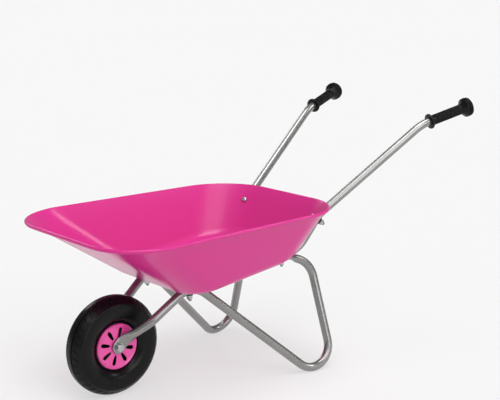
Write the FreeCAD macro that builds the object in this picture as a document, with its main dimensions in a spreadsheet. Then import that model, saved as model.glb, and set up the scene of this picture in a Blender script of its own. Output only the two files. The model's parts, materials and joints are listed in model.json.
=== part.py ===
import FreeCAD, Part
import math
import os
import Sketcher
from FreeCAD import Placement, Rotation, Vector

# Child's garden wheelbarrow: a pressed steel tray on a bent tube frame with one wheel.
# Frame of the part: +X forward to the wheel, +Y left, +Z up, millimetres. The origin is on the
# floor, under the middle of the whole object. Cells called ..._x give distances forward of the
# axle, so points behind the axle are negative; ahead() turns them into the part's own X.

SIDES = {"left": 1, "right": -1}

os.makedirs("parts", exist_ok=True)
doc = FreeCAD.newDocument("wheelbarrow")
sheet = doc.addObject("Spreadsheet::Sheet", "sheet")

CELLS = {
    # wheel and axle
    "axle_x": 313.5, "wheel_radius": 90, "tyre_half_width": 23.5, "tyre_seat_radius": 43,
    "axle_radius": 4, "running_clearance": 0.05, "fit_gap": 0.1, "side_play": 0.3,
    "rim_half_width": 13, "web_half_width": 2, "hub_radius": 9.5, "bush_flange_radius": 8,
    "bush_flange_thickness": 1.2, "bush_length": 9, "bush_wall": 2,
    "cover_radius": 42.5, "cover_inner_face": 14.2, "cover_thickness": 2.2, "cover_bore": 9.2,
    "slot_count": 8, "slot_inner_radius": 16, "slot_outer_radius": 32.5,
    "slot_inner_half_width": 2, "slot_outer_half_width": 3.5, "slot_turn": 14,
    "axle_head_flats": 13, "axle_head_thickness": 5, "axle_washer_radius": 8,
    "axle_washer_thickness": 1.2, "axle_nut_thickness": 6.5, "axle_stub": 2.5,
    # frame tubes
    "tube_radius": 8, "tube_wall": 1.2,
    "axle_lug_inner_y": 17.6, "axle_lug_thickness": 4, "axle_lug_half_width": 12.6,
    "axle_lug_reach": 15, "axle_lug_blend": 44, "lug_half_width": 11.2,
    "knee_x": -48, "knee_y": 52, "knee_z": 134, "knee_bend": 45,
    "hump_x": -128, "hump_y": 66, "hump_bend": 40,
    "foot_x": -396, "foot_y": 170, "foot_bend": 42,
    "rear_x": -383, "rear_y": 90, "rear_bend": 44,
    "handle_lug_thickness": 5, "leg_lug_thickness": 7, "leg_lug_drop": 0.9, "leg_blend": 26,
    "handle_y": 108, "handle_splay": 0.26, "handle_low_bend": 52, "handle_rim_bend": 45,
    "handle_rise": 0.722, "handle_line_x": -415, "handle_line_z": 297,
    "handle_top_x": -616.7, "handle_top_bend": 100, "grip_rise": 0.2835,
    "grip_start": 20, "grip_length": 97, "grip_tube_depth": 76,
    "grip_barrel_radius": 10, "grip_collar_radius": 15, "grip_knob_radius": 19,
    # tray
    "floor_front_x": -89, "floor_front_z": 185.2, "floor_rear_x": -350.6, "floor_rear_z": 221.1,
    "floor_half": 131, "floor_front_corner": 52, "floor_rear_corner": 75,
    "mouth_front_x": 96.5, "mouth_front_z": 304, "mouth_rear_x": -410.5, "mouth_rear_z": 311,
    "mouth_front_half": 193.5, "mouth_rear_half": 172, "mouth_front_corner": 102,
    "mouth_rear_corner": 98, "sheet_thickness": 1.2, "bead_radius": 3.5, "bead_offset": 2.5,
    "bend_front": 24, "bend_side": 24, "bend_rear": 45,
    # tray fasteners
    "bolt_radius": 3, "bolt_hole_radius": 3.2, "head_radius": 5.5, "head_height": 3,
    "seat_radius": 7, "seat_depth": 0.4,
    "washer_radius": 6.5, "washer_thickness": 1.2, "nut_flats": 10, "nut_thickness": 6,
    "thread_stub": 4, "rear_bolt_x": -321, "wall_bolt_drop": 8,
}

for row, (alias, value) in enumerate(CELLS.items(), start=1):
    sheet.set(f"A{row}", alias)
    sheet.set(f"B{row}", str(value))
    sheet.setAlias(f"B{row}", alias)
doc.recompute()


def dim(alias):
    """A sheet value as a plain number."""
    return float(sheet.get(alias))


def ahead(x):
    return dim("axle_x") + x


def point(xAlias, y, z):
    return Vector(ahead(dim(xAlias)), y, z)


def mirrored(vector, side):
    return Vector(vector.x, side * vector.y, vector.z)


def fixed(name, shape):
    """A document object for a shape that Part's own functions made from sheet values."""
    feature = doc.addObject("Part::Feature", name)
    feature.Shape = shape
    return feature


subParts = []


def subPart(feature, name):
    feature.Label = name
    subParts.append(feature)
    return feature


# ---------------------------------------------------------------- primitives and booleans

def bind(feature, **expressions):
    for prop, expression in expressions.items():
        feature.setExpression(prop, expression)
    return feature


def cylinder(name, radius, height):
    return bind(doc.addObject("Part::Cylinder", name), Radius=radius, Height=height)


def cut(name, base, tool):
    feature = doc.addObject("Part::Cut", name)
    feature.Base = base
    feature.Tool = tool
    return feature


def fuse(name, shapes):
    feature = doc.addObject("Part::MultiFuse", name)
    feature.Shapes = shapes
    return feature


def along(origin, direction, turn=0):
    """Placement that puts a local Z axis at origin and along direction."""
    facing = Rotation(Vector(0, 0, 1), direction)
    return Placement(origin, facing.multiply(Rotation(Vector(0, 0, 1), turn)))


def originPlane(body, role):
    return [item for item in body.Origin.OriginFeatures if item.Role == role][0]


def profileSketch(body, name, corners, role="XZ_Plane"):
    """Closed outline whose corners are pairs of sheet expressions, one constraint per number."""
    sketch = body.newObject("Sketcher::SketchObject", name)
    sketch.AttachmentSupport = [(originPlane(body, role), "")]
    sketch.MapMode = "FlatFace"
    count = len(corners)
    radians = [2 * math.pi * i / count for i in range(count)]
    start = [Vector(50 + 10 * math.cos(a), 50 + 10 * math.sin(a), 0) for a in radians]
    for i in range(count):
        sketch.addGeometry(Part.LineSegment(start[i], start[(i + 1) % count]))
    for i in range(count):
        sketch.addConstraint(Sketcher.Constraint("Coincident", i, 2, (i + 1) % count, 1))
    for i, pair in enumerate(corners):
        for kind, expression in zip(("DistanceX", "DistanceY"), pair):
            place = sketch.addConstraint(Sketcher.Constraint(kind, -1, 1, i, 1, 10 + i))
            sketch.setExpression(f"Constraints[{place}]", expression)
    return sketch


def turnedBody(name, corners):
    """A body turned about its own Z axis; corners are (radius, height) expressions."""
    body = doc.addObject("PartDesign::Body", name)
    sketch = profileSketch(body, name + "_profile", corners)
    turned = body.newObject("PartDesign::Revolution", name + "_turned")
    turned.Profile = sketch
    turned.ReferenceAxis = (sketch, ["V_Axis"])
    turned.Angle = 360
    doc.recompute()
    return body


def roundEdges(body, name, radius, chosen):
    """Fillet the edges of the body's tip that chosen() picks."""
    base = body.Tip
    names = [f"Edge{i}" for i, edge in enumerate(base.Shape.Edges, start=1) if chosen(edge)]
    fillet = body.newObject("PartDesign::Fillet", name)
    fillet.Base = (base, names)
    fillet.setExpression("Radius", radius)
    doc.recompute()
    return fillet


# ---------------------------------------------------------------- paths, tubes and flattened ends

def bentPath(corners, radii, closed=False):
    """Straight runs joined by tangent arcs; radii has one value for each inner corner."""
    count = len(corners)
    inner = range(count) if closed else range(1, count - 1)
    arcs = {}
    for i, radius in zip(inner, radii):
        before, corner, after = corners[i - 1], corners[i], corners[(i + 1) % count]
        back = (before - corner).normalize()
        on = (after - corner).normalize()
        half = back.getAngle(on) / 2
        run = radius / math.tan(half)
        middle = corner + (back + on).normalize() * (radius / math.sin(half) - radius)
        arcs[i] = Part.Arc(corner + back * run, middle, corner + on * run)
    edges = []
    if not closed:
        edges.append(Part.LineSegment(corners[0], arcs[1].StartPoint).toShape())
    for i in inner:
        edges.append(arcs[i].toShape())
        following = arcs.get((i + 1) % count)
        if following:
            edges.append(Part.LineSegment(arcs[i].EndPoint, following.StartPoint).toShape())
        else:
            edges.append(Part.LineSegment(arcs[i].EndPoint, corners[-1]).toShape())
    return edges


def bendDepth(corners, radii, index, origin, normal):
    """How far the arc at one corner of a path stays from a plane."""
    arc = bentPath(corners, radii)[2 * index - 1]
    return min((place - origin).dot(normal) for place in arc.discretize(400))


def seatCorner(corners, radii, index, origin, normal, distance):
    """Move one corner along normal until its arc just reaches the distance from a plane."""
    for _ in range(12):
        miss = distance - bendDepth(corners, radii, index, origin, normal)
        corners[index] = corners[index] + normal * miss


def stretch(edges, start, end):
    """The part of a path between two distances along it."""
    pieces = []
    passed = 0.0
    for edge in edges:
        low, high = max(start - passed, 0), min(end - passed, edge.Length)
        if high - low > 1e-6:
            first = edge.getParameterByLength(low)
            last = edge.getParameterByLength(high)
            pieces.append(edge.Curve.toShape(first, last))
        passed += edge.Length
    return Part.Wire(pieces)


def station(edges, distance):
    """Point and direction at a distance along a path."""
    for edge in edges:
        if distance <= edge.Length + 1e-9:
            place = edge.getParameterByLength(min(distance, edge.Length))
            return edge.valueAt(place), edge.tangentAt(place).normalize()
        distance -= edge.Length
    return edge.valueAt(edge.LastParameter), edge.tangentAt(edge.LastParameter).normalize()


def pathLength(edges):
    return sum(edge.Length for edge in edges)


def sweep(section, wire):
    return wire.makePipeShell([section], True, False)


def ring(centre, direction, radius):
    return Part.Wire(Part.Circle(centre, direction, radius).toShape())


def ovalSection(centre, direction, thin, halfThin, halfWide, turn):
    """Closed outline of a squashed tube, four arcs that meet smoothly.

    The two broad arcs each cover the angle turn, in radians, either side of the thin way. With
    no turn they are straight, and with halfThin equal to halfWide the outline is a circle."""
    wide = direction.cross(thin)
    spread = math.tan(turn / 2)
    endRadius = (halfThin - halfWide * spread) / (1 - spread)
    endCentre = halfWide - endRadius
    acrossCorner = endCentre + endRadius * math.sin(turn)
    thinCorner = endRadius * math.cos(turn)
    corners = [centre + wide * (acrossCorner * i) + thin * (thinCorner * j)
               for i, j in ((1, 1), (-1, 1), (-1, -1), (1, -1))]
    crowns = [centre + thin * halfThin, centre - wide * halfWide,
              centre - thin * halfThin, centre + wide * halfWide]
    edges = []
    for i in range(4):
        start, end = corners[i], corners[(i + 1) % 4]
        if turn == 0 and i % 2 == 0:
            edges.append(Part.LineSegment(start, end).toShape())
        else:
            edges.append(Part.Arc(start, crowns[i], end).toShape())
    return Part.Wire(edges)


def flattenedEnd(edges, holeAt, blendTo, thin, thickness, halfWidth, shift):
    """Flat lug round a hole near a path's start, blended into the round tube.

    The lug lies square to thin, its middle moved by shift along thin from the path."""
    radius = dim("tube_radius")
    halfThick = thickness / 2
    centre, direction = station(edges, holeAt)
    thin = (thin - direction * thin.dot(direction)).normalize()
    wide = direction.cross(thin)
    middle = centre + thin * shift
    flatEnd = holeAt + halfWidth * 0.9
    flatSection = Part.Face(ovalSection(middle, direction, thin, halfThick, halfWidth, 0))
    plate = flatSection.extrude(direction * (flatEnd - holeAt))
    edgeMiddle = middle + wide * (halfWidth - halfThick)
    lower, upper = thin * -halfThick, thin * halfThick
    noseSection = Part.Face(Part.Wire([
        Part.LineSegment(middle + lower, edgeMiddle + lower).toShape(),
        Part.Arc(edgeMiddle + lower, middle + wide * halfWidth, edgeMiddle + upper).toShape(),
        Part.LineSegment(edgeMiddle + upper, middle + upper).toShape(),
        Part.LineSegment(middle + upper, middle + lower).toShape(),
    ]))
    nose = noseSection.revolve(middle, thin * -1, 180)
    sections = []
    steps = 6
    for i in range(steps + 1):
        part = i / steps
        blend = part * part * (3 - 2 * part)
        place, heading = station(edges, flatEnd + (blendTo - flatEnd) * part)
        across = (thin - heading * thin.dot(heading)).normalize()
        halfThin = halfThick + (radius - halfThick) * blend
        halfWide = halfWidth + (radius - halfWidth) * blend
        offset = across * (shift * (1 - blend))
        sections.append(ovalSection(place + offset, heading, across, halfThin, halfWide,
                                    math.radians(45) * blend))
    return Part.makeLoft(sections, True, False), [plate, nose], sections[-1]


def tubeWithLugs(corners, radii, startLug, endLug=None):
    """Hollow round tube along a path with a flattened lug at its start and, if asked, its end."""
    edges = bentPath(corners, radii)
    length = pathLength(edges)
    startBlend, lugs, roundSection = flattenedEnd(edges, **startLug)
    pieces = [startBlend] + lugs
    roundFrom, roundTo, hollowTo = startLug["blendTo"], length, length
    if endLug:
        endBlend, endLugs, _ = flattenedEnd(bentPath(corners[::-1], radii[::-1]), **endLug)
        pieces += [endBlend] + endLugs
        roundTo = length - endLug["blendTo"]
        hollowTo = roundTo - 2
    outer = sweep(roundSection, stretch(edges, roundFrom, roundTo))
    hollowStart, hollowWay = station(edges, roundFrom + 2)
    hollowRing = ring(hollowStart, hollowWay, dim("tube_radius") - dim("tube_wall"))
    inner = sweep(hollowRing, stretch(edges, roundFrom + 2, hollowTo))
    return outer.fuse(pieces).cut(inner).removeSplitter()


# ---------------------------------------------------------------- tray

def trayOutline(level, shrink):
    """Rounded outline of the tray at its floor or mouth, drawn in from the outer surface."""
    frontX, rearX = ahead(dim(level + "_front_x")), ahead(dim(level + "_rear_x"))
    frontZ, rearZ = dim(level + "_front_z"), dim(level + "_rear_z")
    if level == "floor":
        frontHalf = rearHalf = dim("floor_half")
    else:
        frontHalf, rearHalf = dim("mouth_front_half"), dim("mouth_rear_half")
    front, side, rear, lift = shrink
    corners = [Vector(frontX - front, frontHalf - side, frontZ + lift),
               Vector(rearX + rear, rearHalf - side, rearZ + lift),
               Vector(rearX + rear, side - rearHalf, rearZ + lift),
               Vector(frontX - front, side - frontHalf, frontZ + lift)]
    inset = max(shrink[:3])
    frontCorner, rearCorner = dim(level + "_front_corner") - inset, dim(level + "_rear_corner") - inset
    return Part.Wire(bentPath(corners, [frontCorner, rearCorner, rearCorner, frontCorner], closed=True))


floorTilt = math.atan2(dim("floor_rear_z") - dim("floor_front_z"), dim("floor_front_x") - dim("floor_rear_x"))
frontSlope = math.atan2(dim("mouth_front_z") - dim("floor_front_z"), dim("mouth_front_x") - dim("floor_front_x"))
rearSlope = math.atan2(dim("mouth_rear_z") - dim("floor_rear_z"), dim("floor_rear_x") - dim("mouth_rear_x"))
meanDepth = (dim("mouth_front_z") + dim("mouth_rear_z") - dim("floor_front_z") - dim("floor_rear_z")) / 2
meanMouthHalf = (dim("mouth_front_half") + dim("mouth_rear_half")) / 2
sideSlope = math.atan2(meanDepth, meanMouthHalf - dim("floor_half"))


def filletedTub(name, floorShrink, mouthShrink, bendChange):
    """Solid between the floor and mouth outlines with a rounded bottom edge."""
    loft = doc.addObject("Part::Loft", name + "_loft")
    loft.Sections = [fixed(name + "_floor_outline", trayOutline("floor", floorShrink)),
                     fixed(name + "_mouth_outline", trayOutline("mouth", mouthShrink))]
    loft.Solid = True
    loft.Ruled = True
    doc.recompute()
    floorPlane = loft.Sections[0].Shape.BoundBox
    bends = []
    for number, edge in enumerate(loft.Shape.Edges, start=1):
        ends = [edge.valueAt(edge.FirstParameter), edge.valueAt(edge.LastParameter)]
        if max(end.z for end in ends) > floorPlane.ZMax + 1:
            continue
        radii = []
        for end in ends:
            if end.x < floorPlane.XMin + 1:
                radii.append(dim("bend_rear"))
            elif end.x > floorPlane.XMax - 1:
                radii.append(dim("bend_front"))
            else:
                radii.append(dim("bend_side"))
        bends.append((number, radii[0] + bendChange, radii[1] + bendChange))
    fillet = doc.addObject("Part::Fillet", name)
    fillet.Base = loft
    fillet.Edges = bends
    doc.recompute()
    return fillet


def floorPoint(x, y, below=0.0):
    """Point on the underside of the tray floor, or some way below it, square to the floor."""
    z = dim("floor_front_z") + (dim("floor_front_x") - x) * math.tan(floorTilt)
    return Vector(ahead(x), y, z) + floorDown * below


def wallPoint(x, y, out=0.0):
    """Point on the outer surface of the rear wall, or some way behind it."""
    z = dim("floor_rear_z") + (dim("floor_rear_x") - x) * math.tan(rearSlope)
    return Vector(ahead(x), y, z) + wallOut * out


def handleLine(x):
    """Distance of a handle tube from the middle plane, at a distance x ahead of the axle."""
    return dim("handle_y") + dim("handle_splay") * (dim("handle_line_x") - x)


floorDown = Vector(-math.sin(floorTilt), 0, -math.cos(floorTilt))
floorBack = Vector(-math.cos(floorTilt), 0, math.sin(floorTilt))
wallOut = Vector(-math.sin(rearSlope), 0, -math.cos(rearSlope))
wallUp = Vector(-math.cos(rearSlope), 0, math.sin(rearSlope))


def boltHoles(name):
    """Drills for all six tray bolts, long enough for the sheet and the tubes."""
    drills = []
    for where, (place, way) in boltPlaces.items():
        for sideName, side in SIDES.items():
            drill = cylinder(f"{name}_{where}_{sideName}", "sheet.bolt_hole_radius", "60")
            drill.Placement = along(mirrored(place - way * 20, side), mirrored(way, side))
            drills.append(drill)
    return fuse(name, drills)


def headSeats():
    """Shallow round seats for the floor bolts, so that no head stands on the flat face itself."""
    seats = []
    for where in ("front", "rear"):
        place, way = boltPlaces[where]
        bottom = place - way * (dim("sheet_thickness") - dim("seat_depth"))
        for sideName, side in SIDES.items():
            seat = cylinder(f"{where}_seat_{sideName}", "sheet.seat_radius", "5")
            seat.Placement = along(mirrored(bottom, side), mirrored(way * -1, side))
            seats.append(seat)
    return seats


def makeTray(outer):
    sheetMetal = dim("sheet_thickness")
    floorShrink = (sheetMetal * math.tan((frontSlope + floorTilt) / 2), sheetMetal * math.tan(sideSlope / 2),
                   sheetMetal * math.tan((rearSlope - floorTilt) / 2), sheetMetal)
    # The inner shape runs a little past the mouth, so the cut leaves no skin across it.
    past = 1
    mouthShrink = [sheetMetal / math.sin(wall) - past / math.tan(wall)
                   for wall in (frontSlope, sideSlope, rearSlope)] + [past]
    inner = filletedTub("tub_inside", floorShrink, mouthShrink, -sheetMetal)
    shell = cut("tub_shell", outer, inner)
    offset = -dim("bead_offset")
    beadPath = fixed("bead_path", trayOutline("mouth", (offset, offset, offset, 0)))
    beadRing = bind(doc.addObject("Part::Circle", "bead_ring"), Radius="sheet.bead_radius")
    first = beadPath.Shape.OrderedEdges[1]
    beadRing.Placement = along(first.valueAt(first.FirstParameter), first.tangentAt(first.FirstParameter))
    bead = doc.addObject("Part::Sweep", "bead")
    bead.Sections = [beadRing]
    bead.Spine = (beadPath, [])
    bead.Solid = True
    doc.recompute()
    whole = fuse("tray_whole", [shell, bead])
    tray = cut("tray_drilled", whole, boltHoles("tray_drills"))
    for seat in headSeats():
        tray = cut("tray_with_" + seat.Name, tray, seat)
    return tray


# ---------------------------------------------------------------- frame tubes

def lowerFramePath():
    """Left lower tube: axle lug, knee past the tyre, hump under the tray, foot, rear bend."""
    lugY = dim("axle_lug_inner_y") + dim("axle_lug_thickness") / 2
    axle = Vector(ahead(0), lugY, dim("wheel_radius"))
    knee = point("knee_x", dim("knee_y"), dim("knee_z"))
    inPlane = Vector(knee.x - axle.x, 0, knee.z - axle.z).normalize()
    turnOut = axle + inPlane * dim("axle_lug_reach")
    hump = floorPoint(dim("hump_x"), dim("hump_y"), 0)
    foot = point("foot_x", dim("foot_y"), 0)
    rearBoltY = handleLine(dim("rear_bolt_x"))
    legDepth = dim("handle_lug_thickness") + 2 * dim("fit_gap") + dim("tube_radius") + dim("leg_lug_drop")
    rear = floorPoint(dim("rear_x"), dim("rear_y"), legDepth)
    end = floorPoint(dim("rear_bolt_x") + dim("lug_half_width"), rearBoltY, legDepth)
    start = axle - inPlane * dim("axle_lug_half_width")
    corners = [start, turnOut, knee, hump, foot, rear, end]
    radii = [30, dim("knee_bend"), dim("hump_bend"), dim("foot_bend"), dim("rear_bend")]
    floorOrigin = floorPoint(dim("hump_x"), 0)
    for _ in range(3):
        seatCorner(corners, radii, 3, floorOrigin, floorDown, dim("tube_radius") + dim("fit_gap"))
        seatCorner(corners, radii, 4, Vector(0, 0, 0), Vector(0, 0, 1), dim("tube_radius"))
    return corners, radii


def makeLowerFrame(drills):
    corners, radii = lowerFramePath()
    lugLift = dim("tube_radius") - dim("leg_lug_thickness") / 2 + dim("leg_lug_drop")
    axleLug = {"holeAt": dim("axle_lug_half_width"), "blendTo": dim("axle_lug_half_width") + dim("axle_lug_blend"),
               "thin": Vector(0, 1, 0), "thickness": dim("axle_lug_thickness"),
               "halfWidth": dim("axle_lug_half_width"), "shift": 0}
    rearLug = {"holeAt": dim("lug_half_width"), "blendTo": dim("lug_half_width") * 1.9 + dim("leg_blend"),
               "thin": floorDown, "thickness": dim("leg_lug_thickness"),
               "halfWidth": dim("lug_half_width"), "shift": -lugLift}
    tubeBody = fixed("lower_tube", tubeWithLugs(corners, radii, axleLug, rearLug))
    axleDrill = cylinder("axle_drill", "sheet.axle_radius + sheet.fit_gap", "60")
    axleDrill.Placement = along(Vector(ahead(0), 0, dim("wheel_radius")), Vector(0, 1, 0))
    drilled = cut("lower_tube_drilled", tubeBody, drills)
    return cut("lower_frame_cut", drilled, axleDrill)


def handlePath(wallDepth):
    """Left handle tube: rear lug, up the rear wall, out at the rim, up to the grip."""
    lugDepth = dim("fit_gap") + dim("handle_lug_thickness") / 2
    lugLine = floorPoint(dim("floor_rear_x"), 0, lugDepth)
    wallLine = wallPoint(dim("floor_rear_x"), 0, wallDepth)
    low = meeting(lugLine, floorBack, wallLine, wallUp)
    handleUp = Vector(-1, 0, dim("handle_rise")).normalize()
    handleStart = point("handle_line_x", 0, dim("handle_line_z"))
    rimCorner = meeting(wallLine, wallUp, handleStart, handleUp)
    top = handleStart + handleUp * ((ahead(dim("handle_top_x")) - handleStart.x) / handleUp.x)
    gripUp = Vector(-1, 0, dim("grip_rise")).normalize()
    gripRun = dim("grip_start") + dim("grip_tube_depth")
    start = floorPoint(dim("rear_bolt_x") + dim("lug_half_width"), 0, lugDepth)
    corners = [start, low, rimCorner, top, top + gripUp]
    for corner in corners:
        corner.y = handleLine(corner.x - dim("axle_x"))
    corners[-1] = corners[3] + (corners[4] - corners[3]).normalize() * gripRun
    return corners, [dim("handle_low_bend"), dim("handle_rim_bend"), dim("handle_top_bend")]


def meeting(pointA, wayA, pointB, wayB):
    """Where two lines in a plane of constant Y cross."""
    gap = pointB - pointA
    determinant = wayA.x * -wayB.z + wayB.x * wayA.z
    distance = (gap.x * -wayB.z + wayB.x * gap.z) / determinant
    return pointA + wayA * distance


def makeHandle(drills):
    corners, radii = handleCorners, handleRadii
    hole = dim("lug_half_width")
    lowLug = {"holeAt": hole, "blendTo": hole * 1.9 + 52, "thin": floorDown,
              "thickness": dim("handle_lug_thickness"), "halfWidth": hole, "shift": 0}
    tubeBody = fixed("handle_tube", tubeWithLugs(corners, radii, lowLug))
    return cut("handle_cut", tubeBody, drills)


def mirrorOf(name, feature):
    copy = doc.addObject("Part::Mirroring", name)
    copy.Source = feature
    copy.Base = Vector(0, 0, 0)
    copy.Normal = Vector(0, 1, 0)
    return copy


def gripFrame(side):
    """Start point of a grip and the way along it."""
    top, end = mirrored(handleCorners[3], side), mirrored(handleCorners[4], side)
    way = (end - top).normalize()
    return top + way * dim("grip_start"), way


def makeGrip(name, side):
    bore = "sheet.tube_radius + sheet.fit_gap"
    barrel, collar, knob = "sheet.grip_barrel_radius", "sheet.grip_collar_radius", "sheet.grip_knob_radius"
    length = "sheet.grip_length"
    corners = [
        (bore, "-3"), (collar, "-3"), (collar, "1.5"), (barrel, "1.5"),
        (barrel, length + " - 30"), (knob, length + " - 14"), (knob, length + " - 6"),
        (knob + " - 4", length + " - 2"), (knob + " - 9", length), ("0", length),
        ("0", "sheet.grip_tube_depth + 0.5"), (bore, "sheet.grip_tube_depth + 0.5"),
    ]
    body = turnedBody(name, corners)
    roundEdges(body, name + "_soft", "1.4", lambda edge: isinstance(edge.Curve, Part.Circle)
               and edge.Curve.Radius > dim("grip_barrel_radius") + 0.5 and edge.Closed)
    start, way = gripFrame(side)
    body.Placement = along(start, way)
    return body


# ---------------------------------------------------------------- wheel, its axis along local Z

def makeTyre():
    body = doc.addObject("PartDesign::Body", "tyre_body")
    sketch = body.newObject("Sketcher::SketchObject", "tyre_section")
    sketch.AttachmentSupport = [(originPlane(body, "XZ_Plane"), "")]
    sketch.MapMode = "FlatFace"
    seat, crown, half = dim("tyre_seat_radius"), dim("wheel_radius"), dim("tyre_half_width")
    mid = (seat + crown) / 2 + 2
    flank = [(seat, 11.5), (seat + 4, 15), (mid - 7, half - 1.5), (mid + 3, half),
             (crown - 9, half - 3.5), (crown - 2.5, half - 10), (crown, 0)]
    upper = [Vector(r, z, 0) for r, z in flank]
    lower = [Vector(r, -z, 0) for r, z in reversed(flank[:-1])]
    curve = Part.BSplineCurve()
    curve.interpolate(upper + lower)
    sketch.addGeometry(curve)
    sketch.addGeometry(Part.LineSegment(lower[-1], upper[0]))
    sketch.addConstraint(Sketcher.Constraint("Coincident", 0, 2, 1, 1))
    sketch.addConstraint(Sketcher.Constraint("Coincident", 1, 2, 0, 1))
    turned = body.newObject("PartDesign::Revolution", "tyre_turned")
    turned.Profile = sketch
    turned.ReferenceAxis = (sketch, ["V_Axis"])
    turned.Angle = 360
    doc.recompute()
    return body


def makeWheelRim():
    seat, half = "(sheet.tyre_seat_radius - sheet.fit_gap)", "sheet.rim_half_width"
    hub, web = "sheet.hub_radius", "sheet.web_half_width"
    bore = "(sheet.axle_radius + sheet.running_clearance + sheet.bush_wall)"
    barrel = seat + " - 3"
    return turnedBody("wheel_rim_body", [
        (bore, half), (hub, half), (hub, web), (barrel, web), (barrel, half), (seat, half),
        (seat, "-" + half), (barrel, "-" + half), (barrel, "-" + web), (hub, "-" + web),
        (hub, "-" + half), (bore, "-" + half),
    ])


def makeHubCover(name, side):
    inner, thick = "sheet.cover_inner_face", "sheet.cover_thickness"
    radius, bore = "sheet.cover_radius", "sheet.cover_bore"
    body = turnedBody(name, [
        (bore, inner), (radius + " - 1.5", inner), (radius + " - 1.5", inner + " - 1"), (radius, inner + " - 1"),
        (radius, inner + " + " + thick), (radius + " - 4", inner + " + " + thick + " + 0.8"),
        (radius + " - 9", inner + " + " + thick), (bore, inner + " + " + thick),
    ])
    first, last = "sheet.slot_inner_radius", "sheet.slot_outer_radius"
    narrow, wide = "sheet.slot_inner_half_width", "sheet.slot_outer_half_width"
    sketch = profileSketch(body, name + "_slot", [
        (first, "-" + narrow), (last, "-" + wide), (last + " + 2", "-" + wide + " * 0.5"),
        (last + " + 2", wide + " * 0.5"), (last, wide), (first, narrow)], role="XY_Plane")
    pocket = body.newObject("PartDesign::Pocket", name + "_slot_cut")
    pocket.Profile = sketch
    pocket.Type = 1
    pocket.Reversed = True
    doc.recompute()
    pattern = body.newObject("PartDesign::PolarPattern", name + "_slots")
    pattern.Originals = [pocket]
    pattern.Axis = (sketch, ["N_Axis"])
    pattern.Angle = 360
    pattern.setExpression("Occurrences", "sheet.slot_count")
    body.Tip = pattern
    doc.recompute()
    body.Placement = along(Vector(ahead(0), 0, dim("wheel_radius")), Vector(0, side, 0), dim("slot_turn"))
    return body


def makeBush(name, side):
    shaft = "(sheet.axle_radius + sheet.running_clearance)"
    sleeve = shaft + " + sheet.bush_wall - sheet.running_clearance"
    face = "sheet.rim_half_width"
    body = turnedBody(name, [
        (shaft, face + " - sheet.bush_length"), (sleeve, face + " - sheet.bush_length"), (sleeve, face),
        ("sheet.bush_flange_radius", face), ("sheet.bush_flange_radius", face + " + sheet.bush_flange_thickness"),
        (shaft, face + " + sheet.bush_flange_thickness"),
    ])
    body.Placement = along(Vector(ahead(0), 0, dim("wheel_radius")), Vector(0, side, 0))
    return body


def washerLike(name, hole, radius, thickness, place, way):
    disc = cylinder(name + "_disc", radius, thickness)
    bore = cylinder(name + "_bore", hole, thickness)
    washer = cut(name + "_ring", disc, bore)
    washer.Placement = along(place, way)
    return washer


def hexBlock(name, flats, thickness, bore=None):
    """Hexagonal nut or head on local Z, its corners turned off by a cone."""
    prism = bind(doc.addObject("Part::Prism", name + "_prism"),
                 Circumradius=f"{flats} / 2 / cos(30 deg)", Height=thickness)
    prism.Polygon = 6
    cone = bind(doc.addObject("Part::Cone", name + "_cone"), Height=thickness,
                Radius1=f"{flats} / 2 / cos(30 deg) + 1.2 * ({thickness})", Radius2=f"{flats} / 2 * 0.96")
    block = doc.addObject("Part::MultiCommon", name + "_block")
    block.Shapes = [prism, cone]
    if bore is None:
        return block
    return cut(name + "_bored", block, cylinder(name + "_hole", bore, thickness))


# ---------------------------------------------------------------- the axle set

def makeAxleSet():
    lugOuter = dim("axle_lug_inner_y") + dim("axle_lug_thickness")
    axis = Vector(ahead(0), 0, dim("wheel_radius"))
    for sideName, side in SIDES.items():
        way = Vector(0, side, 0)
        spacerStart = dim("rim_half_width") + dim("bush_flange_thickness") + dim("side_play")
        spacer = washerLike(f"spacer_{sideName}", "sheet.axle_radius + sheet.fit_gap", "sheet.bush_flange_radius - 1",
                            f"{dim('axle_lug_inner_y') - spacerStart - 0.05}", axis + way * spacerStart, way)
        subPart(spacer, f"axle_spacer_{sideName}")
        washer = washerLike(f"axle_washer_{sideName}_set", "sheet.axle_radius + sheet.fit_gap",
                            "sheet.axle_washer_radius", "sheet.axle_washer_thickness",
                            axis + way * (lugOuter + 0.05), way)
        subPart(washer, f"axle_washer_{sideName}")
    seat = lugOuter + dim("axle_washer_thickness") + 0.1
    head = hexBlock("axle_head", "sheet.axle_head_flats", "sheet.axle_head_thickness")
    shankLength = 2 * seat + dim("axle_nut_thickness") + dim("axle_stub")
    shank = cylinder("axle_shank", "sheet.axle_radius", str(shankLength))
    shank.Placement = Placement(Vector(0, 0, -shankLength), Rotation())
    bolt = fuse("axle_bolt_whole", [head, shank])
    bolt.Placement = along(axis + Vector(0, seat, 0), Vector(0, 1, 0), 12)
    subPart(bolt, "axle_bolt")
    nut = hexBlock("axle_nut_set", "sheet.axle_head_flats", "sheet.axle_nut_thickness", "sheet.axle_radius + 0.02")
    nut.Placement = along(axis - Vector(0, seat, 0), Vector(0, -1, 0), 20)
    subPart(nut, "axle_nut")


# ---------------------------------------------------------------- tray fasteners

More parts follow.
